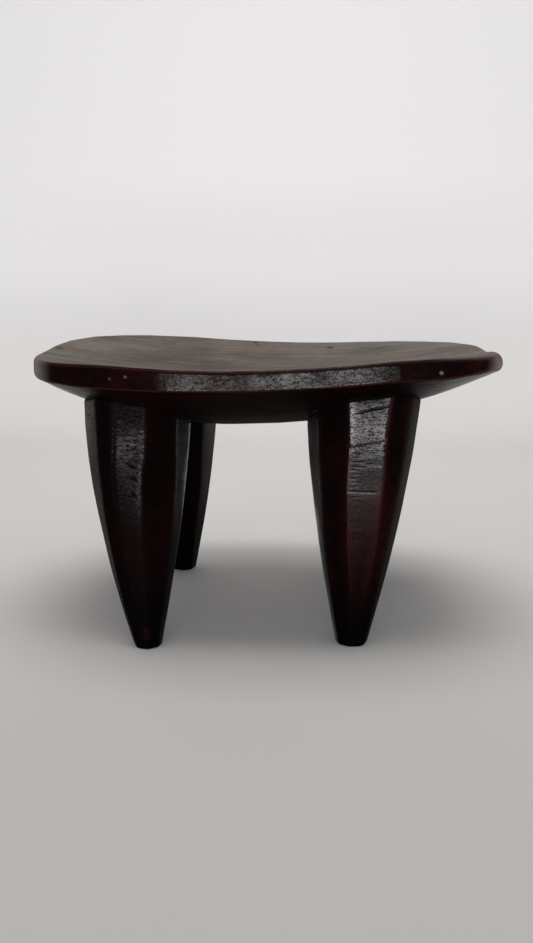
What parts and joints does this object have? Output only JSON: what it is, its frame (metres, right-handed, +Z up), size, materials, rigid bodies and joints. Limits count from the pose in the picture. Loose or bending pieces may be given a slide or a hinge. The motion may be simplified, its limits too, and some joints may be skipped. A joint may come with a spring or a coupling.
{
  "type": "carved wooden stool",
  "caption": "Low dished seat hewn from dark hardwood, with a hull-shaped underside on stout tapering legs, for one person to sit on.",
  "frame": {"origin": "on the floor, under the middle of the seat", "axes": "+X along the seat to the right seen from the front, +Y to the back, +Z up"},
  "size_m": [0.5, 0.34, 0.3004],
  "materials": {
    "dark_wood": "hand-rubbed satin over adze marks"
  },
  "bodies": {
    "root": {"seat": "dark_wood", "leg_front_left": "dark_wood", "leg_front_right": "dark_wood", "leg_back_left": "dark_wood", "leg_back_right": "dark_wood"}
  },
  "joints": []
}
